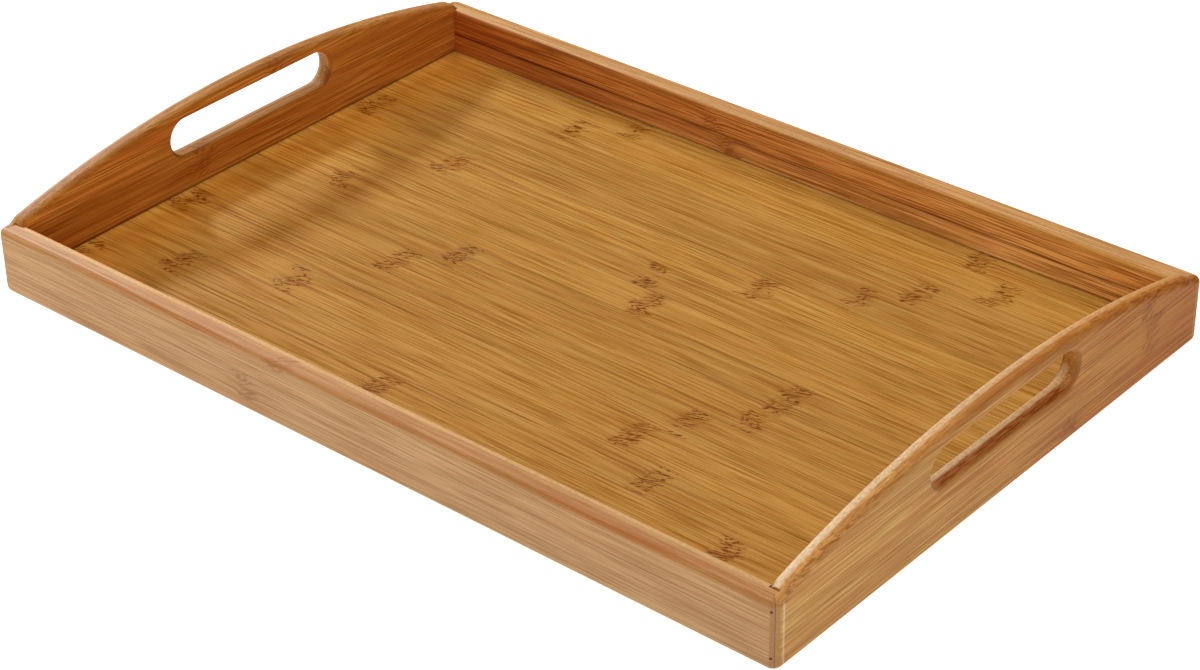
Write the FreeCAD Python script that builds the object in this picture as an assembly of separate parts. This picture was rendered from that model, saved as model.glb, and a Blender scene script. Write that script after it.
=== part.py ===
import FreeCAD, Part
import math
import os

# Bamboo serving tray: four edge boards around a glued strip floor, hand slots in the two arched ends.
# Frame: millimetres, +Z up, origin at the centre of the underside, +X along the length.

V = FreeCAD.Vector

# Overall size
LENGTH = 500.0
WIDTH = 345.0
RAIL_HEIGHT = 36.5
CROWN_HEIGHT = 60.0

# Boards
RAIL_THICKNESS = 12.5
END_THICKNESS = 10.5
FLOOR_THICKNESS = 5.0
FLOOR_TOP = 10.0

# Hand slot: a stadium through each end panel
SLOT_LENGTH = 119.0
SLOT_HEIGHT = 21.0
SLOT_BOTTOM = 30.5

# Rounded edges
CORNER_RADIUS = 5.0
TOP_RADIUS = 3.5
FOOT_RADIUS = 3.0
SLOT_EDGE_RADIUS = 2.5

# Each arch runs down to the rail's height in a rounding and then a hollow, this far from the corner
SHOULDER_ROUNDING = 10.5
SHOULDER_HOLLOW = 6.5
SHOULDER_FROM_CORNER = 5.5

# Rabbeted mitre at each corner: the panel housed in the rail, a tongue inside, a mitred lap outside.
# The right panel stops short in its housings, which leaves a slit on top of its two corners.
HOUSING = 3.5
RIGHT_HOUSING_GAP = 0.7
LEFT_HOUSING_GAP = 0.15
LAP = 4.7
JOINT_GAP = 0.15

# Floor held in a groove that runs round the four boards, with room to swell
GROOVE_DEPTH = 5.5
GROOVE_PLAY = 0.5
FLOOR_ENGAGEMENT = 5.0

# Bamboo strips that the boards are glued up from
FLOOR_STRIPS = 14
RAIL_GLUE_LINES = [21.5]
END_GLUE_LINES = [13.5, 35.0]

# Brads that pin each corner, driven through the rail's face into the end panel's lap
BRAD_FROM_END = 3.0
BRAD_HEIGHTS = [6.7, 31.3]
BRAD_LENGTH = 18.0
BRAD_SHANK_RADIUS = 0.5
BRAD_HEAD_RADIUS = 0.7
BRAD_HEAD_THICKNESS = 0.4
BRAD_SET_DEPTH = 1.2

# Sizes that follow from the ones above
HALF_LENGTH = LENGTH / 2
HALF_WIDTH = WIDTH / 2
INNER_X = HALF_LENGTH - END_THICKNESS
INNER_Y = HALF_WIDTH - RAIL_THICKNESS
HOUSED_Y = INNER_Y + HOUSING
FLOOR_BOTTOM = FLOOR_TOP - FLOOR_THICKNESS
GROOVE_TOP = FLOOR_TOP + GROOVE_PLAY
BEYOND = 10.0
TOLERANCE = 1e-3


def prism(outline, bottom, top):
    """A vertical prism over a plan outline given as (x, y) corners."""
    points = [V(x, y, bottom) for x, y in outline]
    face = Part.Face(Part.makePolygon(points + [points[0]]))
    return face.extrude(V(0, 0, top - bottom))


def box(low, high):
    """A box from its lowest corner to its highest corner."""
    return Part.makeBox(high[0] - low[0], high[1] - low[1], high[2] - low[2], V(*low))


def rounded(shape, radius, wanted):
    """The shape with every edge that passes the test wanted(edge) rounded."""
    edges = [edge for edge in shape.Edges if wanted(edge)]
    return shape.makeFillet(radius, edges)


def lies_at(edge, axis, value):
    """True where the whole edge lies in the plane axis = value."""
    box_of_edge = edge.BoundBox
    low = getattr(box_of_edge, axis + "Min")
    high = getattr(box_of_edge, axis + "Max")
    return abs(low - value) < TOLERANCE and abs(high - value) < TOLERANCE


def is_vertical(edge):
    """True for an edge that runs straight up."""
    extent = edge.BoundBox
    return extent.XLength < TOLERANCE and extent.YLength < TOLERANCE


def mirrored(shape, normal):
    """The shape mirrored in the plane through the origin with that normal."""
    return shape.mirror(V(0, 0, 0), normal)


def rail_board():
    """The rail on the +Y side as a plain full-length board with its rounded edges."""
    board = box((-HALF_LENGTH, INNER_Y, 0), (HALF_LENGTH, HALF_WIDTH, RAIL_HEIGHT))
    board = rounded(board, CORNER_RADIUS, lambda e: is_vertical(e) and lies_at(e, "Y", HALF_WIDTH))
    board = rounded(board, TOP_RADIUS, lambda e: lies_at(e, "Z", RAIL_HEIGHT) and not is_end_of_rail(e))
    return rounded(board, FOOT_RADIUS, lambda e: lies_at(e, "Z", 0) and not lies_at(e, "Y", INNER_Y)
                   and not is_end_of_rail(e))


def is_end_of_rail(edge):
    """True for the short straight edges that cross the rail at its two ends."""
    return lies_at(edge, "X", HALF_LENGTH) or lies_at(edge, "X", -HALF_LENGTH)


def rail_end(housing_gap):
    """Plan corners of the +Y rail's +X end: mitred lap, tongue and housing, from outside to inside."""
    tongue_x = HALF_LENGTH - LAP - JOINT_GAP
    tip_x = HALF_LENGTH - JOINT_GAP * math.sqrt(2)
    step_y = HALF_WIDTH - (tip_x - tongue_x)
    inner_x = INNER_X - JOINT_GAP
    housing_y = HOUSED_Y + housing_gap
    return [(tip_x + BEYOND, HALF_WIDTH + BEYOND), (tongue_x, step_y), (tongue_x, housing_y),
            (inner_x, housing_y), (inner_x, INNER_Y)]


def rail_plan():
    """Plan outline of the +Y rail, with a joint at each end."""
    right = rail_end(RIGHT_HOUSING_GAP)
    left = [(-x, y) for x, y in reversed(rail_end(LEFT_HOUSING_GAP))]
    return right + left


def back_rail():
    """The +Y rail, cut for its joints, grooved for the floor and drilled for its brads."""
    rail = rail_board().common(prism(rail_plan(), -BEYOND, RAIL_HEIGHT + BEYOND))
    groove_floor = INNER_Y + GROOVE_DEPTH
    groove = box((-LENGTH, INNER_Y - BEYOND, FLOOR_BOTTOM), (LENGTH, groove_floor, GROOVE_TOP))
    return rail.cut(groove).cut(brad_holes())


def circles_meet(centre, radius, other_centre, other_radius):
    """The point where two circles in the panel's plane cross, on the side nearer the crown."""
    across = other_centre - centre
    distance = across.Length
    along = (radius ** 2 - other_radius ** 2 + distance ** 2) / (2 * distance)
    aside = math.sqrt(radius ** 2 - along ** 2)
    across.normalize()
    return centre + across * along + V(0, -across.z, across.y) * aside


def towards(start, end, distance):
    """The point at a distance from start in the direction of end."""
    direction = end - start
    direction.normalize()
    return start + direction * distance


def half_arch():
    """The arcs from the crown to the rail's height on the +Y side of the panel's inner face."""
    rise = CROWN_HEIGHT - RAIL_HEIGHT
    radius = (HALF_WIDTH ** 2 + rise ** 2) / (2 * rise)
    arch_centre = V(INNER_X, 0, CROWN_HEIGHT - radius)
    crown = V(INNER_X, 0, CROWN_HEIGHT)
    low = V(INNER_X, HALF_WIDTH - SHOULDER_FROM_CORNER, RAIL_HEIGHT)
    hollow_centre = low + V(0, 0, SHOULDER_HOLLOW)
    rounding_centre = circles_meet(arch_centre, radius - SHOULDER_ROUNDING,
                                   hollow_centre, SHOULDER_ROUNDING + SHOULDER_HOLLOW)
    high = towards(arch_centre, rounding_centre, radius)
    middle = towards(rounding_centre, hollow_centre, SHOULDER_ROUNDING)
    return [
        arc_about(arch_centre, crown, high),
        arc_about(rounding_centre, high, middle),
        arc_about(hollow_centre, middle, low),
    ]


def arc_about(centre, start, end):
    """The short circular arc from start to end about their common centre."""
    between = towards(centre, (start + end) * 0.5, (start - centre).Length)
    return Part.Arc(start, between, end).toShape()


def end_board():
    """The end panel on the +X side as a plain full-width board with its arch and rounded edges."""
    low_y = HALF_WIDTH - SHOULDER_FROM_CORNER
    sides = Part.makePolygon([
        V(INNER_X, -low_y, RAIL_HEIGHT),
        V(INNER_X, -HALF_WIDTH, RAIL_HEIGHT),
        V(INNER_X, -HALF_WIDTH, 0),
        V(INNER_X, HALF_WIDTH, 0),
        V(INNER_X, HALF_WIDTH, RAIL_HEIGHT),
        V(INNER_X, low_y, RAIL_HEIGHT),
    ])
    right_arcs = half_arch()
    left_arcs = [mirrored(arc, V(0, 1, 0)) for arc in right_arcs]
    outline = Part.Wire(Part.__sortEdges__(sides.Edges + right_arcs + left_arcs))
    board = Part.Face(outline).extrude(V(END_THICKNESS, 0, 0))
    board = rounded(board, CORNER_RADIUS, lambda e: is_vertical(e) and lies_at(e, "X", HALF_LENGTH))
    board = rounded(board, TOP_RADIUS, lambda e: is_along_top(e) and not is_end_of_panel(e))
    return rounded(board, FOOT_RADIUS, lambda e: lies_at(e, "Z", 0) and not lies_at(e, "X", INNER_X)
                   and not is_end_of_panel(e))


def is_along_top(edge):
    """True for an edge along the end board's top, on its inner or its outer face."""
    extent = edge.BoundBox
    across = extent.XLength > END_THICKNESS - TOLERANCE
    return extent.ZMin > RAIL_HEIGHT - TOLERANCE and not across


def is_end_of_panel(edge):
    """True for the short straight edges that cross the end board at its two ends."""
    return lies_at(edge, "Y", HALF_WIDTH) or lies_at(edge, "Y", -HALF_WIDTH)


def end_plan():
    """Plan outline of the +X end panel: full width outside, housed end and mitred lap at each end."""
    lap_x = HALF_LENGTH - LAP
    near = [(HALF_LENGTH + BEYOND, HALF_WIDTH + BEYOND), (lap_x, HALF_WIDTH - LAP), (lap_x, HOUSED_Y),
            (INNER_X, HOUSED_Y)]
    far = [(x, -y) for x, y in reversed(near)]
    return near + far


def hand_slot():
    """The stadium cutter for the hand slot of the +X end panel."""
    radius = SLOT_HEIGHT / 2
    centre_y = SLOT_LENGTH / 2 - radius
    centre_z = SLOT_BOTTOM + radius
    low_right = V(INNER_X, centre_y, centre_z - radius)
    high_right = V(INNER_X, centre_y, centre_z + radius)
    low_left = V(INNER_X, -centre_y, centre_z - radius)
    high_left = V(INNER_X, -centre_y, centre_z + radius)
    edges = [
        Part.makeLine(low_left, low_right),
        Part.Arc(low_right, V(INNER_X, centre_y + radius, centre_z), high_right).toShape(),
        Part.makeLine(high_right, high_left),
        Part.Arc(high_left, V(INNER_X, -centre_y - radius, centre_z), low_left).toShape(),
    ]
    return Part.Face(Part.Wire(edges)).extrude(V(END_THICKNESS, 0, 0))


def is_slot_rim(edge):
    """True for an edge of the slot's mouth on either face of the end board."""
    extent = edge.BoundBox
    on_face = lies_at(edge, "X", INNER_X) or lies_at(edge, "X", HALF_LENGTH)
    inside = abs(extent.YMax) <= SLOT_LENGTH / 2 + TOLERANCE and abs(extent.YMin) <= SLOT_LENGTH / 2 + TOLERANCE
    above = extent.ZMin > SLOT_BOTTOM - TOLERANCE
    return on_face and inside and above and extent.ZMax < SLOT_BOTTOM + SLOT_HEIGHT + TOLERANCE


def right_end_panel():
    """The +X end panel with its slot, joints, floor groove and brad holes."""
    panel = rounded(end_board().cut(hand_slot()), SLOT_EDGE_RADIUS, is_slot_rim)
    panel = panel.common(prism(end_plan(), -BEYOND, CROWN_HEIGHT + BEYOND))
    groove = box((INNER_X - BEYOND, -INNER_Y - BEYOND, FLOOR_BOTTOM),
                 (INNER_X + GROOVE_DEPTH, INNER_Y + BEYOND, GROOVE_TOP))
    panel = panel.cut(groove)
    return panel.cut(brad_holes()).cut(mirrored(brad_holes(), V(0, 1, 0)))


def brad_places():
    """(x, z) of every brad in the +Y rail."""
    x = HALF_LENGTH - BRAD_FROM_END
    return [(side * x, z) for side in (-1, 1) for z in BRAD_HEIGHTS]


def brad(x, z):
    """One headed brad set below the +Y rail's face."""
    head_y = HALF_WIDTH - BRAD_SET_DEPTH
    inward = V(0, -1, 0)
    head = Part.makeCylinder(BRAD_HEAD_RADIUS, BRAD_HEAD_THICKNESS, V(x, head_y, z), inward)
    shank = Part.makeCylinder(BRAD_SHANK_RADIUS, BRAD_LENGTH, V(x, head_y, z), inward)
    return head.fuse(shank).removeSplitter()


def brad_hole(x, z):
    """The room one brad takes in the wood: its own shape and the open hole above its head."""
    head_y = HALF_WIDTH - BRAD_SET_DEPTH
    mouth = Part.makeCylinder(BRAD_HEAD_RADIUS, BRAD_SET_DEPTH + BEYOND, V(x, head_y, z), V(0, 1, 0))
    return brad(x, z).fuse(mouth)


def brad_holes():
    """All the brad holes of the +Y rail."""
    return Part.makeCompound([brad_hole(x, z) for x, z in brad_places()])


def corner_brads():
    """Every brad in the tray, as separate solids."""
    back = [brad(x, z) for x, z in brad_places()]
    front = [mirrored(one, V(0, 1, 0)) for one in back]
    return Part.makeCompound(back + front)


def floor_strips():
    """The floor's bamboo strips, side by side across the width."""
    reach_x = INNER_X + FLOOR_ENGAGEMENT
    reach_y = INNER_Y + FLOOR_ENGAGEMENT
    strip_width = 2 * reach_y / FLOOR_STRIPS
    strips = {}
    for number in range(FLOOR_STRIPS):
        low_y = -reach_y + number * strip_width
        strip = box((-reach_x, low_y, FLOOR_BOTTOM), (reach_x, low_y + strip_width, FLOOR_TOP))
        strips["floor_strip_%02d" % (number + 1)] = strip
    return strips


def split_into_strips(board, name, glue_lines, labels):
    """The board cut along its horizontal glue lines, as {node name: strip}, lowest first."""
    levels = [-BEYOND] + glue_lines + [CROWN_HEIGHT + BEYOND]
    strips = {}
    for label, low, high in zip(labels, levels[:-1], levels[1:]):
        layer = box((-LENGTH, -WIDTH, low), (LENGTH, WIDTH, high))
        strips[name + "_" + label] = board.common(layer)
    return strips


def tray_nodes():
    """Every node of the tray as {name: shape}."""
    back = back_rail()
    front = mirrored(back, V(0, 1, 0))
    right = right_end_panel()
    left = mirrored(right, V(1, 0, 0))
    nodes = {}
    for name, rail in (("front_rail", front), ("back_rail", back)):
        nodes.update(split_into_strips(rail, name, RAIL_GLUE_LINES, ["lower_strip", "upper_strip"]))
    for name, panel in (("left_end_panel", left), ("right_end_panel", right)):
        labels = ["lower_strip", "middle_strip", "upper_strip"]
        nodes.update(split_into_strips(panel, name, END_GLUE_LINES, labels))
    nodes.update(floor_strips())
    nodes["corner_brads"] = corner_brads()
    return nodes


os.makedirs("parts", exist_ok=True)
for node_name, node_shape in tray_nodes().items():
    node_shape.exportStep("parts/" + node_name + ".step")
    print(node_name, len(node_shape.Solids), "solid(s)", round(node_shape.Volume), "mm3", node_shape.isValid())
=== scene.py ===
import math

import bmesh
import bpy
from mathutils import Matrix, Vector


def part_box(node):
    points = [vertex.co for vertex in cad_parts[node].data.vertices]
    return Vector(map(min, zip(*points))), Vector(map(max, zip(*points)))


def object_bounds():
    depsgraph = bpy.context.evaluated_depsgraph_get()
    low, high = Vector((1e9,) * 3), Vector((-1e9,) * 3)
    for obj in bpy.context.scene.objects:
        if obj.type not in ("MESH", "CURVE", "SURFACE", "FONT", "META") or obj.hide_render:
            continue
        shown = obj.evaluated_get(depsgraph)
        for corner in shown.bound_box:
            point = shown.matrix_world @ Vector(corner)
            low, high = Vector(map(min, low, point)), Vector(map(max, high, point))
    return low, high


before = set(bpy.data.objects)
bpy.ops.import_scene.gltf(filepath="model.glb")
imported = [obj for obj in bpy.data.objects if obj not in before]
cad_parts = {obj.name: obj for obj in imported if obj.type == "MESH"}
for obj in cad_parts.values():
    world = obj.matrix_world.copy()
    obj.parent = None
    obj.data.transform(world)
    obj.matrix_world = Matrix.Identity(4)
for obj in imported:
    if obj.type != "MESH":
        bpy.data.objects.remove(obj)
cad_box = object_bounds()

# ---------------------------------------------------------------- camera
# angles in degrees, lens and sensor in millimetres, the rest in metres

AZIMUTH = 40.765
ELEVATION = 32.076
ROLL = -0.923
DISTANCE = 1.5111
AIM_RIGHT = 0.00514
AIM_UP = -0.01108
LENS = 89.47
SENSOR = 36.0


def add_camera():
    """The camera at the photograph's viewing angle, aimed near the middle of the tray."""
    a, e, r = (math.radians(v) for v in (AZIMUTH, ELEVATION, ROLL))
    back = Vector((math.sin(a) * math.cos(e), -math.cos(a) * math.cos(e), math.sin(e)))
    level = Vector((math.cos(a), math.sin(a), 0))
    upward = level.cross(-back)
    right = math.cos(r) * level + math.sin(r) * upward
    up = -math.sin(r) * level + math.cos(r) * upward
    aim = right * AIM_RIGHT + up * AIM_UP
    data = bpy.data.cameras.new("camera")
    data.lens = LENS
    data.sensor_width = SENSOR
    camera = bpy.data.objects.new("camera", data)
    turn = Matrix((right, up, back)).transposed().to_4x4()
    camera.matrix_world = Matrix.Translation(aim + back * DISTANCE) @ turn
    bpy.context.scene.collection.objects.link(camera)
    bpy.context.scene.camera = camera


# ---------------------------------------------------------------- studio

WORLD_LEVEL = 0.24
WORLD_COLOUR = (1.0, 0.72, 0.46)
# square soft lights aimed at the tray: energy, colour, size, place
LIGHTS = {
    "key": (60.0, (0.90, 1.0, 1.12), 0.30, (-2.547, 0.735, 1.416)),
    "top": (36.0, (1.0, 0.82, 0.58), 2.2, (-0.2, 0.3, 2.2)),
    "front": (9.0, (1.0, 0.96, 0.88), 1.2, (0.9, -1.5, 0.6)),
}
TABLE_TOP = -0.0003
TABLE_REACH = 6.0
TABLE_COLOUR = (0.44, 0.45, 0.47)
TABLE_GLOW = 0.95
BACKDROP_RADIUS = 8.0
BACKDROP_ROUNDNESS = 4
BACKDROP_COLOUR = (0, 0, 0)
BACKDROP_GLOW = 1.0
WHITE = (1, 1, 1, 1)


def add_world():
    world = bpy.data.worlds.new("studio")
    world.use_nodes = True
    background = world.node_tree.nodes["Background"]
    background.inputs["Color"].default_value = (*WORLD_COLOUR, 1)
    background.inputs["Strength"].default_value = WORLD_LEVEL
    bpy.context.scene.world = world


def add_lights():
    """A low soft box to the left that shines through the slot, one overhead and one in front."""
    for name, (energy, colour, size, place) in LIGHTS.items():
        data = bpy.data.lights.new(name, "AREA")
        data.energy = energy
        data.color = colour
        data.size = size
        light = bpy.data.objects.new(name, data)
        light.location = place
        light.rotation_euler = (-Vector(place)).to_track_quat("-Z", "Y").to_euler()
        bpy.context.scene.collection.objects.link(light)


def matt_glow(name, colour, glow):
    """A matt material that also gives off white light, for the studio's own surfaces."""
    material = bpy.data.materials.new(name)
    material.use_nodes = True
    shader = material.node_tree.nodes["Principled BSDF"]
    shader.inputs["Base Color"].default_value = (*colour, 1)
    shader.inputs["Roughness"].default_value = 0.9
    shader.inputs["Specular IOR Level"].default_value = 0.0
    shader.inputs["Emission Color"].default_value = WHITE
    shader.inputs["Emission Strength"].default_value = glow
    return material


def add_floor():
    """The studio floor, just under the tray so that no two faces coincide."""
    mesh = bpy.data.meshes.new("studio_floor")
    reach = TABLE_REACH
    sides = ((-reach, -reach), (reach, -reach), (reach, reach), (-reach, reach))
    corners = [(x, y, TABLE_TOP) for x, y in sides]
    mesh.from_pydata(corners, [], [(0, 1, 2, 3)])
    floor = bpy.data.objects.new("studio_floor", mesh)
    bpy.context.scene.collection.objects.link(floor)
    mesh.materials.append(matt_glow("studio_floor", TABLE_COLOUR, TABLE_GLOW))


def add_backdrop():
    """A white dome that lights nothing, so that the background stays plain at low angles."""
    mesh = bpy.data.meshes.new("backdrop")
    dome_shape = bmesh.new()
    bmesh.ops.create_icosphere(dome_shape, subdivisions=BACKDROP_ROUNDNESS, radius=BACKDROP_RADIUS)
    dome_shape.to_mesh(mesh)
    dome_shape.free()
    dome = bpy.data.objects.new("backdrop", mesh)
    for ray in ("diffuse", "glossy", "transmission", "volume_scatter", "shadow"):
        setattr(dome, "visible_" + ray, False)
    bpy.context.scene.collection.objects.link(dome)
    mesh.materials.append(matt_glow("backdrop", BACKDROP_COLOUR, BACKDROP_GLOW))


# ---------------------------------------------------------------- node helpers

class Tree:
    """A new material and short calls for building its nodes."""

    def __init__(self, name):
        self.material = bpy.data.materials.new(name)
        self.material.use_nodes = True
        self.links = self.material.node_tree.links
        self.nodes = self.material.node_tree.nodes
        self.shader = self.nodes["Principled BSDF"]

    def put(self, socket, value):
        if isinstance(value, bpy.types.NodeSocket):
            self.links.new(value, socket)
        elif isinstance(value, (tuple, list)) and len(value) == 3 and socket.type == "RGBA":
            socket.default_value = (*value, 1)
        else:
            socket.default_value = value

    def math(self, kind, *values):
        node = self.nodes.new("ShaderNodeMath")
        node.operation = kind
        for socket, value in zip(node.inputs, values):
            self.put(socket, value)
        return node.outputs[0]

    def plus(self, a, b):
        return self.math("ADD", a, b)

    def minus(self, a, b):
        return self.math("SUBTRACT", a, b)

    def times(self, first, *others):
        for other in others:
            first = self.math("MULTIPLY", first, other)
        return first

    def absolute(self, value):
        return self.math("ABSOLUTE", value)

    def step(self, value, start, end):
        """0 at start, 1 at end, smooth between and level beyond. start may be the larger one."""
        node = self.nodes.new("ShaderNodeMapRange")
        node.interpolation_type = "SMOOTHSTEP"
        self.put(node.inputs["Value"], value)
        self.put(node.inputs["From Min"], start)
        self.put(node.inputs["From Max"], end)
        return node.outputs[0]

    def vector(self, x, y, z):
        node = self.nodes.new("ShaderNodeCombineXYZ")
        for socket, value in zip(node.inputs, (x, y, z)):
            self.put(socket, value)
        return node.outputs[0]

    def split(self, vector):
        node = self.nodes.new("ShaderNodeSeparateXYZ")
        self.put(node.inputs[0], vector)
        return node.outputs

    def noise(self, vector, detail=1.0, rough=0.5, scale=1.0):
        node = self.nodes.new("ShaderNodeTexNoise")
        self.put(node.inputs["Vector"], vector)
        node.inputs["Scale"].default_value = scale
        node.inputs["Detail"].default_value = detail
        node.inputs["Roughness"].default_value = rough
        return node.outputs["Fac"]

    def mix(self, factor, a, b, kind="MIX"):
        """Mix two colours. The colour sockets of the Mix node are numbers 6 and 7."""
        node = self.nodes.new("ShaderNodeMix")
        node.data_type = "RGBA"
        node.blend_type = kind
        node.clamp_factor = True
        self.put(node.inputs[0], factor)
        self.put(node.inputs[6], a)
        self.put(node.inputs[7], b)
        return node.outputs[2]

    def tint(self, colour, by):
        return self.mix(1.0, colour, by, "MULTIPLY")

    def ramp(self, value, stops):
        node = self.nodes.new("ShaderNodeValToRGB")
        elements = node.color_ramp.elements
        while len(elements) < len(stops):
            elements.new(0.5)
        for element, (place, colour) in zip(elements, stops):
            element.position = place
            element.color = (*colour, 1)
        self.put(node.inputs[0], value)
        return node.outputs[0]


def shade(rgb):
    """A colour as seen on a screen, 0 to 255, as a linear colour."""
    return tuple((c / 255 / 12.92) if c <= 10 else ((c / 255 + 0.055) / 1.055) ** 2.4 for c in rgb)


def darkened(colour, share):
    return tuple(share * part for part in colour)


# ---------------------------------------------------------------- bamboo: a strip
# Lengths are in metres and noise is counted per metre. A pair for step() is where a mask is 0 and
# where it is 1. A depth is -1 at the face inside the tray and 1 at the face outside.

# a look that belongs to the inner face: its share left outside, and the depths where it changes
OUTER_SHARE = 0.35
INWARD = (0.3, -0.3)


class Strip(Tree):
    """The material of one strip. grain names the axes along, across and through the strip."""

    def __init__(self, node, grain, look, seed):
        super().__init__(node)
        self.node = node
        self.grain = grain
        self.look = look
        self.seed = seed
        self.axes = self.split(self.nodes.new("ShaderNodeTexCoord").outputs["Object"])
        self.normal = self.split(self.nodes.new("ShaderNodeNewGeometry").outputs["Normal"])
        self.along, self.across, self.through = (self.axes["XYZ".index(letter)] for letter in grain)
        self.depth = self.depth_through() if look["wear_and_highlight"] else None

    def depth_through(self):
        """Where a point lies in its board: -1 at the face inside the tray, 1 at the face outside."""
        index = "XYZ".index(self.grain[2])
        low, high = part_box(self.node)
        half = (high[index] - low[index]) / 2
        middle = abs(high[index] + low[index]) / 2
        return self.math("DIVIDE", self.minus(self.absolute(self.through), middle), half)

    def patches(self, counts, across, seed):
        """Noise with so many patches along the strip and across it."""
        place = self.vector(self.times(self.along, counts[0]), self.times(across, counts[1]), seed)
        return self.noise(place)

    def strength(self, key):
        """A look's strength, less on the outer face when the look belongs to the inner one."""
        if not self.look["inner_only"]:
            return self.look[key]
        inward = self.times(self.step(self.depth, *INWARD), 1 - OUTER_SHARE)
        return self.times(self.look[key], self.plus(OUTER_SHARE, inward))


# ---------------------------------------------------------------- bamboo: knuckles and glue lines

# how a knuckle's middle line sways across the strip: count, reach, shift of the noise
KNUCKLE_SWAYS = ((130, 0.020, 0.0), (600, 0.008, 3.0))
KNUCKLE_SEED_STEP = 3.1
# how the strokes slant along the strip and lean through it, how far apart they are, how they waver
STROKE_SLANT = 0.40
STROKE_LEAN = 0.5
STROKE_PITCH = 0.0021
STROKE_WAVER = 2.0
WAVER_COUNTS = (90, 330)
STROKE_RISE = (-0.15, 0.45)
# where single strokes break off
BREAK_COUNTS = (130, 420)
BREAK_LEVELS = (0.36, 0.46)
BREAK_SHIFT = 5.0
# where the whole knuckle has gaps across the strip
GAP_COUNT = 160
GAP_SHIFT = 9.0
STROKE_GAPS = (0.32, 0.42)
HALO_GAPS = (0.28, 0.46)
# distance from the middle line
STROKE_REACH = (0.0076, 0.0040)
HALO_REACH = (0.011, 0.002)
TAIL_REACH = (0.050, 0.004)
# glue lines: where they break off, and the share of their width that is full dark
SEAM_COUNT = 14
SEAM_BREAKS = (0.34, 0.56)
SEAM_CORE = 0.4


def knuckle_offset(t, centre, seed):
    """Distance along the grain from a knuckle whose middle line wanders across the strip."""
    sways = []
    for count, reach, shift in KNUCKLE_SWAYS:
        noise = t.noise(t.vector(t.times(t.across, count), seed, shift))
        sways.append(t.times(t.minus(noise, 0.5), reach))
    return t.minus(t.minus(t.along, centre), t.plus(*sways))


def knuckle_masks(t, knuckles):
    """(marks, halo, tails) of the knuckles: slanting strokes, a stain and lines that trail off."""
    masks = [None, None, None]
    for index, centre in enumerate(knuckles):
        offset = knuckle_offset(t, centre, t.seed + KNUCKLE_SEED_STEP * index)
        far = t.absolute(offset)
        slant = t.minus(t.across, t.times(offset, STROKE_SLANT))
        slant = t.plus(slant, t.times(t.through, STROKE_LEAN))
        waver = t.patches(WAVER_COUNTS, slant, t.seed)
        turns = t.plus(t.times(slant, 1 / STROKE_PITCH), t.times(waver, STROKE_WAVER))
        comb = t.math("SINE", t.times(turns, 2 * math.pi))
        broken = t.patches(BREAK_COUNTS, slant, t.seed + BREAK_SHIFT)
        stroke = t.times(t.step(comb, *STROKE_RISE), t.step(broken, *BREAK_LEVELS))
        gap = t.noise(t.vector(t.times(t.across, GAP_COUNT), t.seed, GAP_SHIFT + index))
        window = t.times(t.step(far, *STROKE_REACH), t.step(gap, *STROKE_GAPS))
        parts = (t.times(window, stroke),
                 t.times(t.step(far, *HALO_REACH), t.step(gap, *HALO_GAPS)),
                 t.step(far, *TAIL_REACH))
        masks = [part if mask is None else t.math("MAXIMUM", mask, part)
                 for mask, part in zip(masks, parts)]
    return masks


def seam_mask(t):
    """A dark line, broken here and there, where the strip is glued to its neighbours."""
    low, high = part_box(t.node)
    axis = "XYZ".index(t.grain[1])
    width = t.look["seam_width"]
    sides = []
    if "lower" not in t.node:
        sides.append(t.minus(t.across, low[axis]))
    if "upper" not in t.node:
        sides.append(t.minus(high[axis], t.across))
    inside = t.math("MINIMUM", sides[0], sides[-1])
    broken = t.noise(t.vector(t.times(t.along, SEAM_COUNT), t.seed, 1.0), 2.0)
    return t.times(t.step(inside, width, width * SEAM_CORE), t.step(broken, *SEAM_BREAKS))


# ---------------------------------------------------------------- bamboo: grain

# how the fibres wander everywhere, and round a knuckle
DRIFT_COUNTS = (5, 40)
DRIFT_REACH = 0.003
SWIRL_COUNTS = (90, 140)
SWIRL_REACH = 0.0020
# noise drawn out along the grain: length, width, detail, roughness, shift
STREAKS = {
    "fibre": (0.060, 0.0011, 2.0, 0.70, 0.0),
    "thread": (0.035, 0.0006, 1.0, 0.5, 17.0),
    "band": (0.16, 0.0045, 1.0, 0.5, 11.0),
    "line": (0.090, 0.0013, 1.0, 0.5, 29.0),
    "patch": (0.060, 0.011, 1.0, 0.5, 41.0),
    "fleck": (0.010, 0.0010, 1.0, 0.5, 53.0),
}
FIBRE_SHARE = 0.55
GRAIN_STOPS = (0.42, 0.495, 0.57)
OLIVE_PATCHES = (0.50, 0.68)
ORANGE_PATCHES = (0.50, 0.32)
BAND_LEVELS = (0.52, 0.34)
LINE_START = 0.640
LINE_TAILS = 0.075
LINE_RISE = 0.06
GLOW_PATCHES = (0.40, 0.60)
GLOW = 0.35
HALO = 0.26
SEAM_SHADE = 0.5


def grain_layers(t, halo):
    """The streaks by name, with fibres that wander across the strip and swirl round each knuckle."""
    drift = t.patches(DRIFT_COUNTS, t.across, t.seed)
    swirl = t.patches(SWIRL_COUNTS, t.across, t.seed)
    fibre_v = t.plus(t.across, t.times(drift, DRIFT_REACH))
    fibre_v = t.plus(fibre_v, t.times(swirl, SWIRL_REACH, halo))
    layers = {}
    for name, (length, width, detail, rough, shift) in STREAKS.items():
        place = t.vector(t.plus(t.times(t.along, 1 / length), t.seed + shift),
                         t.times(fibre_v, 1 / width), t.times(t.through, 1 / width))
        layers[name] = t.noise(place, detail, rough)
    layers["fine"] = t.plus(t.times(layers["fibre"], FIBRE_SHARE),
                            t.times(layers["thread"], 1 - FIBRE_SHARE))
    return layers


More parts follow.
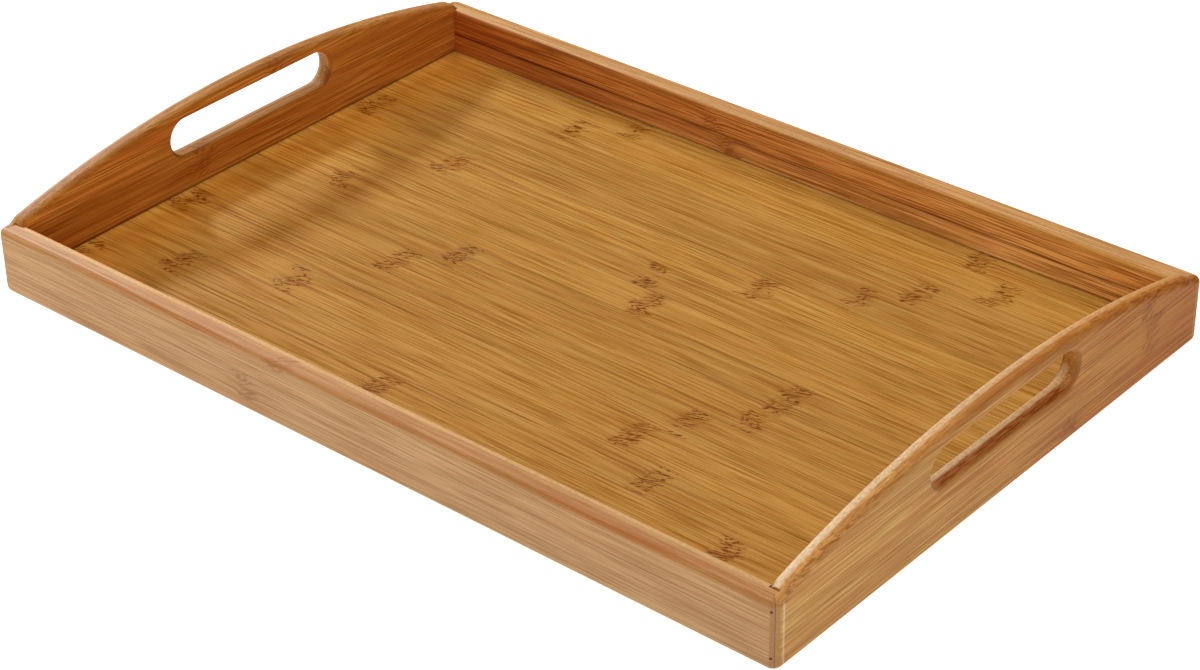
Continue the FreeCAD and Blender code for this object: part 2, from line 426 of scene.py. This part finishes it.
def grain_colour(t, layers, masks):
    """The wood's own colour, and its lines and seams, which are also cut into the surface."""
    marks, halo, tails = masks
    look = t.look
    light, base, dark, deep, olive, orange = (shade(c) for c in look["colours"])
    patch = layers["patch"]
    colour = t.ramp(layers["fine"], list(zip(GRAIN_STOPS, (dark, base, light))))
    colour = t.mix(t.times(t.step(patch, *OLIVE_PATCHES), look["hue"]), colour, olive)
    colour = t.mix(t.times(t.step(patch, *ORANGE_PATCHES), look["hue"]), colour, orange)
    colour = t.mix(t.times(t.step(layers["band"], *BAND_LEVELS), t.strength("bands")), colour, dark)
    above = t.minus(layers["line"], t.minus(LINE_START, t.times(tails, LINE_TAILS)))
    lines = t.times(t.step(above, 0.0, LINE_RISE), t.strength("lines"))
    colour = t.mix(lines, colour, deep)
    colour = t.mix(t.times(tails, t.step(patch, *GLOW_PATCHES), GLOW), colour, light)
    colour = t.mix(t.times(halo, HALO), colour, dark)
    colour = t.mix(t.times(marks, look["marks"]), colour, deep)
    seam = seam_mask(t)
    colour = t.mix(t.times(seam, t.strength("seams")), colour, darkened(deep, SEAM_SHADE))
    return colour, lines, seam


# ---------------------------------------------------------------- bamboo: edges and tone
# A turn is how far a surface faces upwards, as its normal's height.

# the pale top, worn and partly a painted highlight, and the outer edge, painted highlight and shade,
# with depths counted from the look's pale_reach, and the places between which the edge of a fading look
# fades towards the left
SPECKLE_COUNTS = (500, 1100, 1100)
SPECKLE_LEVELS = (0.42, 0.60)
SPECKLE_SHARE = 0.4
PALE_TURN = (0.12, 0.50)
PALE_DEPTHS = (0.15, -0.20)
EDGE_TURN = (0.02, 0.30)
EDGE_DEPTHS = (0.1, 0.6)
FADE_PLACES = (-0.10, -0.23)
# flecks on that edge: their share at the middle of the strip, and from where they gather
FLECK_LEVELS = (0.54, 0.62)
FLECK_LINES = (0.56, 0.62)
FLECK_MIDDLE = 0.35
FLECK_PLACES = (0.06, 0.13)
# painted shade on the slot's lower lip, with places counted from its middle
LIP_PLACES = (0.056, 0.047)
LIP_TURN = (0.1, 0.5)
LIP_DEPTHS = ((-0.35, 0.05), (0.95, 0.60))
LIP_FLECKS = (0.40, 0.60)
LIP_PLAIN = 0.55
# upright corners, found by the normal's x times its y, and the thin painted highlight line beside them,
# found by its distance from the end of the tray where the normal points through the board
CORNER_ROUND = (0.10, 0.40)
CORNER_SHARE = 0.80
RIDGE_HIGHLIGHT_INSETS = ((0.0046, 0.0052), (0.0064, 0.0058))
FLAT_FACE = (0.85, 0.95)

# the face inside the tray, painted shade on its rounded upper edge, and the flat top beside it
INNER_DEPTHS = (-0.28, -0.46)
INNER_TURN = (0.86, 0.68)
ROUND_SHADE = (0.62, 0.55, 0.34)
ROUND_TURN = (0.02, 0.40)
FLAT_TURN = (0.60, 0.90)
# painted shade where a board meets the floor: heights above the top of the floor
CREVICE_TOP = (0.0018, 0.0008)
CREVICE_FOOT = (-0.0020, -0.0010)
CREVICE_DEPTHS = (0.0, -0.5)
CREVICE_SHADE = 0.3

# the floor: the width of its rim of painted light along the boards, and where its painted warm shade
# begins at the left end, in from the end panel
PAINTED_RIM_WIDTH = 0.013
WARM_SHADE_END = (0.055, 0.008)
# for red, green and blue: how much paler the rim is, how much stronger the left end is
RIM_LIGHT_TONES = ((0.42, 0.14), (0.66, 0.02), (0.96, -0.20))
# what a strip's warmth does to red, green and blue
WARMTH = (1.0, 0.0, -1.2)


def pale_top(t, colour):
    """The top, sanded pale towards the inside of the tray, and partly a painted highlight there."""
    look = t.look
    reach = look["pale_reach"]
    place = t.vector(*(t.times(axis, count)
                       for axis, count in zip((t.along, t.across, t.through), SPECKLE_COUNTS)))
    # pale from sanding, and partly a painted highlight on the upward-facing top
    pale_and_highlight = t.times(t.step(t.normal[2], *PALE_TURN),
                   t.step(t.depth, reach + PALE_DEPTHS[0], reach + PALE_DEPTHS[1]))
    speckle = t.times(t.step(t.noise(place), *SPECKLE_LEVELS), look["wear_and_highlight"] * SPECKLE_SHARE)
    worn_and_lit = t.plus(look["wear_and_highlight"] * (1 - SPECKLE_SHARE), speckle)
    return t.mix(t.times(pale_and_highlight, worn_and_lit), colour, shade(look["pale_and_highlight"]))


def outer_edge(t, layers, colour):
    """The rounded top edge outside in the look's edge colour: a painted highlight where that colour is
    pale, partly painted shade where it is a darker orange. It has darker flecks that gather towards the
    ends.
    """
    look = t.look
    reach = look["pale_reach"]
    edge = t.times(t.step(t.normal[2], *EDGE_TURN),
                   t.step(t.depth, reach + EDGE_DEPTHS[0], reach + EDGE_DEPTHS[1]))
    if look["fading"]:
        faded = t.times(t.step(t.along, *FADE_PLACES), look["fading"])
        edge = t.times(edge, t.minus(1.0, faded))
    # painted light on the outer rounded edge: pale edge colours paint a highlight, darker orange ones
    # paint shade
    colour = t.mix(t.times(edge, look["edge"]), colour, shade(look["edge_light_and_shade"]))
    spots = t.math("MAXIMUM", t.step(layers["fleck"], *FLECK_LEVELS),
                   t.step(layers["line"], *FLECK_LINES))
    gather = t.times(t.step(t.absolute(t.along), *FLECK_PLACES), 1 - FLECK_MIDDLE)
    spots = t.times(spots, t.plus(FLECK_MIDDLE, gather))
    return t.mix(t.times(edge, spots, look["flecks"]), colour, shade(look["ember"]))


def slot_lip_shade(t, layers, colour):
    """Painted shade, broken by flecks, on the outer part of the hand slot's lower lip."""
    lip = t.times(t.step(t.absolute(t.along), *LIP_PLACES), t.step(t.normal[2], *LIP_TURN))
    lip = t.times(lip, t.times(*(t.step(t.depth, *depths) for depths in LIP_DEPTHS)))
    flecks = t.times(t.step(layers["fleck"], *LIP_FLECKS), 1 - LIP_PLAIN)
    lip = t.times(lip, t.plus(LIP_PLAIN, flecks))
    # mix the painted shade colour into the lip
    return t.mix(t.times(lip, t.look["lip"]), colour, shade(t.look["lip_shade_colour"]))


def upright_corners(t, colour):
    """The upright edges toned a duller brown, and a thin pale painted highlight line beside them where
    the look has one.
    """
    upright = t.absolute(t.times(t.normal[0], t.normal[1]))
    colour = t.mix(t.times(t.step(upright, *CORNER_ROUND), CORNER_SHARE), colour, shade(t.look["corner"]))
    inset = t.minus(cad_box[1]["XYZ".index(t.grain[0])], t.absolute(t.along))
    # a painted highlight line beside the upright corner
    ridge_highlight = t.times(*(t.step(inset, *insets) for insets in RIDGE_HIGHLIGHT_INSETS))
    facing = t.step(t.absolute(t.normal["XYZ".index(t.grain[2])]), *FLAT_FACE)
    return t.mix(t.times(ridge_highlight, facing, t.look["ridge_highlight"]), colour, shade(t.look["pale_and_highlight"]))


def painted_light_near_boards(t):
    """Painted light on the floor close to the boards, paler to lift the shade there, and painted warm
    shade towards the left end panel.
    """
    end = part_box("right_end_panel_lower_strip")[0][0]
    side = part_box("back_rail_lower_strip")[0][1]
    to_end = t.minus(end, t.absolute(t.axes[0]))
    to_side = t.minus(side, t.absolute(t.axes[1]))
    near = t.step(t.math("MINIMUM", to_end, to_side), PAINTED_RIM_WIDTH, 0.0)
    left = t.step(t.axes[0], WARM_SHADE_END[0] - end, WARM_SHADE_END[1] - end)
    parts = []
    for paler, warmer in RIM_LIGHT_TONES:
        parts.append(t.times(t.plus(1.0, t.times(near, paler)), t.plus(1.0, t.times(left, warmer))))
    return t.vector(*parts)


def lengthwise_light(t, light_slopes):
    """Painted light: a colour that changes from one end of the strip to the other, 1 at the middle."""
    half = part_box(t.node)[1]["XYZ".index(t.grain[0])]
    return t.vector(*(t.plus(1.0, t.times(t.along, light_slope / half)) for light_slope in light_slopes))


def inner_shade(t, colour, toned):
    """The tone on the face inside the tray alone, painted shade on its rounded edge, and a tinted flat
    top.
    """
    height = t.normal[2]
    inner = t.times(t.step(t.depth, *INNER_DEPTHS), t.step(height, *INNER_TURN))
    # painted shade on the rounded edge of the inner face
    darker = t.mix(t.step(height, *ROUND_TURN), toned, t.tint(toned, ROUND_SHADE))
    flat = t.mix(t.step(height, *FLAT_TURN), colour, t.tint(colour, t.look["top_tint"]))
    return t.mix(inner, flat, darker)


def painted_crevice_shade(t, colour):
    """Painted shade: the dark line where the board meets the floor of the tray."""
    floor_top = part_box("floor_strip_01")[1][2]
    height = t.minus(t.axes[2], floor_top)
    line = t.times(t.step(height, *CREVICE_TOP), t.step(height, *CREVICE_FOOT),
                   t.step(t.depth, *CREVICE_DEPTHS))
    deep = shade(t.look["colours"][3])
    # painted shade in the joint with the floor
    return t.mix(t.times(line, t.look["painted_crevice_shade"]), colour, darkened(deep, CREVICE_SHADE))


# ---------------------------------------------------------------- bamboo: the material

ROUGH_SPAN = 0.20
BUMP_STRENGTH = 0.4
BUMP_DISTANCE = 0.00015
# how deep lines, strokes and seams are cut, beside the height of the grain
GROOVE = 0.5


def bamboo(node, grain, look, seed, knuckles, tone, warmth=0.0, light_slopes=None):
    """A lacquered bamboo strip with its knuckles, worn edges with painted highlight and shade on them,
    and tone.
    """
    t = Strip(node, grain, look, seed)
    masks = knuckle_masks(t, knuckles)
    layers = grain_layers(t, masks[1])
    colour, lines, seam = grain_colour(t, layers, masks)
    # worn pale edges, with painted highlights and painted shade on them
    if look["wear_and_highlight"]:
        colour = outer_edge(t, layers, pale_top(t, colour))
        if "middle" in node:
            colour = slot_lip_shade(t, layers, colour)
        colour = upright_corners(t, colour)

    toned = t.tint(colour, tuple(tone * (1 + warmth * part) for part in WARMTH))
    # painted light that falls off along the strip
    if light_slopes:
        toned = t.tint(toned, lengthwise_light(t, light_slopes))
    # painted light near the boards and painted warm shade at the left end of the floor
    if look["painted_rim_light"]:
        toned = t.tint(toned, painted_light_near_boards(t))
    if look["inner_only"]:
        toned = painted_crevice_shade(t, inner_shade(t, colour, toned))

    t.put(t.shader.inputs["Base Color"], toned)
    rough = t.plus(look["rough"] - ROUGH_SPAN / 2, t.times(layers["fine"], ROUGH_SPAN))
    t.put(t.shader.inputs["Roughness"], rough)
    t.shader.inputs["Specular IOR Level"].default_value = look["shine"]
    height = t.minus(layers["fine"], t.times(lines, GROOVE))
    height = t.minus(height, t.times(t.math("MAXIMUM", masks[0], seam), GROOVE))
    bump = t.nodes.new("ShaderNodeBump")
    bump.inputs["Strength"].default_value = BUMP_STRENGTH
    bump.inputs["Distance"].default_value = BUMP_DISTANCE
    t.put(bump.inputs["Height"], height)
    t.put(t.shader.inputs["Normal"], bump.outputs[0])
    return t.material


# ---------------------------------------------------------------- looks
# "colours" are light, base, dark, deep, olive and orange, as seen on a screen

FLOOR_LOOK = {
    "colours": [(190, 148, 81), (176, 131, 62), (151, 104, 35),
                (117, 60, 4), (178, 139, 71), (179, 122, 58)],
    "hue": 0.30, "bands": 0.25, "lines": 0.50, "marks": 0.96, "seams": 0.35, "seam_width": 0.00055,
    "wear_and_highlight": 0.0, "painted_rim_light": True, "inner_only": False, "rough": 0.30, "shine": 0.25,
}
RAIL_LOOK = {
    "colours": [(198, 159, 114), (183, 143, 94), (166, 123, 74),
                (142, 88, 42), (185, 149, 98), (188, 134, 84)],
    "pale_and_highlight": (224, 188, 140), "ember": (176, 104, 54), "edge_light_and_shade": (173, 115, 58),
    "corner": (160, 116, 76),
    "hue": 0.20, "bands": 0.16, "lines": 0.36, "marks": 0.50, "seams": 0.25, "seam_width": 0.00055,
    "wear_and_highlight": 0.80, "pale_reach": -0.25, "edge": 0.40, "flecks": 0.50, "ridge_highlight": 0.0, "fading": 0.75,
    "painted_rim_light": False, "inner_only": False, "rough": 0.52, "shine": 0.30,
}
BACK_LOOK = dict(
    RAIL_LOOK,
    colours=[(204, 164, 112), (184, 142, 90), (146, 100, 52),
             (118, 62, 20), (188, 150, 92), (184, 120, 66)],
    edge_light_and_shade=(210, 188, 154), top_tint=(1.0, 0.95, 0.88),
    bands=0.50, lines=0.70, seams=1.0, seam_width=0.0010, wear_and_highlight=0.30, pale_reach=0.15, edge=0.60,
    fading=0.0, flecks=0.30, painted_crevice_shade=0.10, inner_only=True)
END_LOOK = {
    "colours": [(198, 151, 84), (182, 130, 64), (158, 103, 42),
                (130, 72, 20), (184, 140, 74), (184, 118, 58)],
    "pale_and_highlight": (218, 194, 160), "ember": (140, 78, 26), "edge_light_and_shade": (184, 134, 84),
    "corner": (148, 104, 60), "lip_shade_colour": (134, 63, 3),
    "hue": 0.35, "bands": 0.50, "lines": 0.45, "marks": 0.55, "seams": 0.25, "seam_width": 0.00055,
    "wear_and_highlight": 0.75, "pale_reach": 0.0, "edge": 0.40, "flecks": 0.65, "lip": 1.0, "ridge_highlight": 0.35,
    "fading": 0.0, "painted_rim_light": False, "inner_only": False, "rough": 0.52, "shine": 0.12,
}
LEFT_LOOK = dict(
    END_LOOK,
    edge_light_and_shade=(212, 190, 160), top_tint=(0.86, 0.80, 0.74), bands=0.65, lines=0.70, wear_and_highlight=0.12,
    edge=0.72, flecks=0.35, lip=0.0, ridge_highlight=0.0, painted_crevice_shade=0.55, inner_only=True)

# ---------------------------------------------------------------- strips

# floor strips, from the front rail to the back rail: knuckle places and tone
FLOOR_STRIPS = (
    ((-0.120, 0.095), 0.98),
    ((-0.235, -0.027, 0.188), 1.0),
    ((-0.187, 0.127), 0.97),
    ((-0.128, 0.098), 1.03),
    ((-0.231, 0.108), 0.95),
    ((-0.099, 0.133), 0.98),
    ((-0.079, 0.135), 0.93),
    ((-0.182, 0.027), 1.02),
    ((0.012,), 0.97),
    ((-0.148, 0.063), 1.04),
    ((-0.230, 0.108), 0.92),
    ((0.128,), 0.96),
    ((-0.122, 0.161), 1.03),
    ((-0.093, 0.132), 1.0),
)
# painted light: change of red, green and blue along the strip, as light falls off from one end to the
# other
FRONT_LIGHT_SLOPES = (-0.09, -0.09, -0.09)
BACK_LIGHT_SLOPES = (0.30, 0.60, 0.85)
RIGHT_LIGHT_SLOPES = (-0.17, -0.40, -0.75)
# grain, look, knuckle places, tone, warmth, painted light slopes
BOARD_STRIPS = {
    "front_rail_lower_strip": ("XZY", RAIL_LOOK, (-0.070,), 0.95, 0.0, FRONT_LIGHT_SLOPES),
    "front_rail_upper_strip": ("XZY", RAIL_LOOK, (-0.045,), 0.96, 0.02, FRONT_LIGHT_SLOPES),
    "back_rail_lower_strip": ("XZY", BACK_LOOK, (-0.035,), 1.30, 0.16, BACK_LIGHT_SLOPES),
    "back_rail_upper_strip": ("XZY", BACK_LOOK, (-0.050,), 1.20, 0.24, BACK_LIGHT_SLOPES),
    "left_end_panel_lower_strip": ("YZX", LEFT_LOOK, (0.105,), 0.94, 0.28),
    "left_end_panel_middle_strip": ("YZX", LEFT_LOOK, (-0.040,), 1.04, 0.24),
    "left_end_panel_upper_strip": ("YZX", LEFT_LOOK, (0.020,), 1.20, 0.22),
    "right_end_panel_lower_strip": ("YZX", END_LOOK, (0.055,), 1.0, 0.0, RIGHT_LIGHT_SLOPES),
    "right_end_panel_middle_strip": ("YZX", END_LOOK, (0.125,), 1.0, 0.0, RIGHT_LIGHT_SLOPES),
    "right_end_panel_upper_strip": ("YZX", END_LOOK, (0.120,), 1.0, 0.0, RIGHT_LIGHT_SLOPES),
}
# seeds that keep every strip's noise apart
FLOOR_SEED_STEP = 5.3
BOARD_SEED = 101.7
BOARD_SEED_STEP = 7.9


def give(node, material):
    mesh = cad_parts[node].data
    mesh.materials.clear()
    mesh.materials.append(material)


def finish_wood():
    for number, (knuckles, tone) in enumerate(FLOOR_STRIPS, 1):
        node = "floor_strip_%02d" % number
        give(node, bamboo(node, "XYZ", FLOOR_LOOK, FLOOR_SEED_STEP * number, knuckles, tone))
    for index, (node, (grain, look, *rest)) in enumerate(BOARD_STRIPS.items()):
        give(node, bamboo(node, grain, look, BOARD_SEED + BOARD_SEED_STEP * index, *rest))


# ---------------------------------------------------------------- brads

# detail, roughness, count
DIRT = (3.0, 0.6, 2500)
DIRT_STOPS = [(0.4, (0.20, 0.12, 0.06)), (0.65, (0.40, 0.27, 0.15))]
DIRT_ROUGHNESS = (0.9, 0.2)


def brad_steel():
    """Dull steel with dirt in it."""
    t = Tree("brad_steel")
    place = t.nodes.new("ShaderNodeTexCoord").outputs["Object"]
    dirt = t.noise(place, *DIRT)
    t.put(t.shader.inputs["Base Color"], t.ramp(dirt, DIRT_STOPS))
    t.put(t.shader.inputs["Roughness"], t.step(dirt, *DIRT_ROUGHNESS))
    t.shader.inputs["Metallic"].default_value = 0.8
    return t.material


add_camera()
add_world()
add_lights()
add_floor()
add_backdrop()
finish_wood()
give("corner_brads", brad_steel())
bpy.context.scene.view_settings.view_transform = "Standard"
